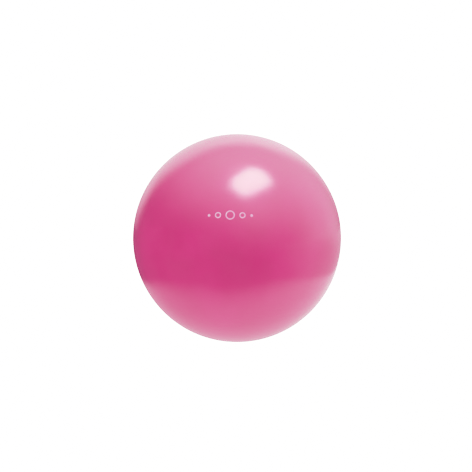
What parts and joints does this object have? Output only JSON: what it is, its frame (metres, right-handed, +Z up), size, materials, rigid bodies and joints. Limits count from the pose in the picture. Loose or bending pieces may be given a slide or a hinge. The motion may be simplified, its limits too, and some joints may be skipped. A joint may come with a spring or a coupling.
{
  "type": "exercise ball",
  "caption": "Large inflated soft vinyl exercise ball, glossy pink, with a fused-in valve, a pull-out plug and a small printed mark, standing on the flat patch under it.",
  "frame": {"origin": "middle of the flat patch on which the ball stands", "axes": "+Z up, +Y straight out of the valve, -Y the side with the printed mark, +X to the right when the mark is seen from the front"},
  "size_m": [0.6504, 0.6495, 0.6486],
  "materials": {
    "ball_vinyl": "glossy soft vinyl",
    "insert_vinyl": "satin soft vinyl",
    "plug_plastic": "satin moulded",
    "ink": "printed film"
  },
  "bodies": {
    "ball": {"ball_skin": "ball_vinyl", "valve_insert": "insert_vinyl", "printed_mark": "ink"},
    "plug": {"valve_plug": "plug_plastic"}
  },
  "joints": [
    {"name": "plug_pull", "type": "slide", "parent": "ball", "child": "plug", "axis": [0, 1, 0], "range_m": [0, 0.045]}
  ]
}
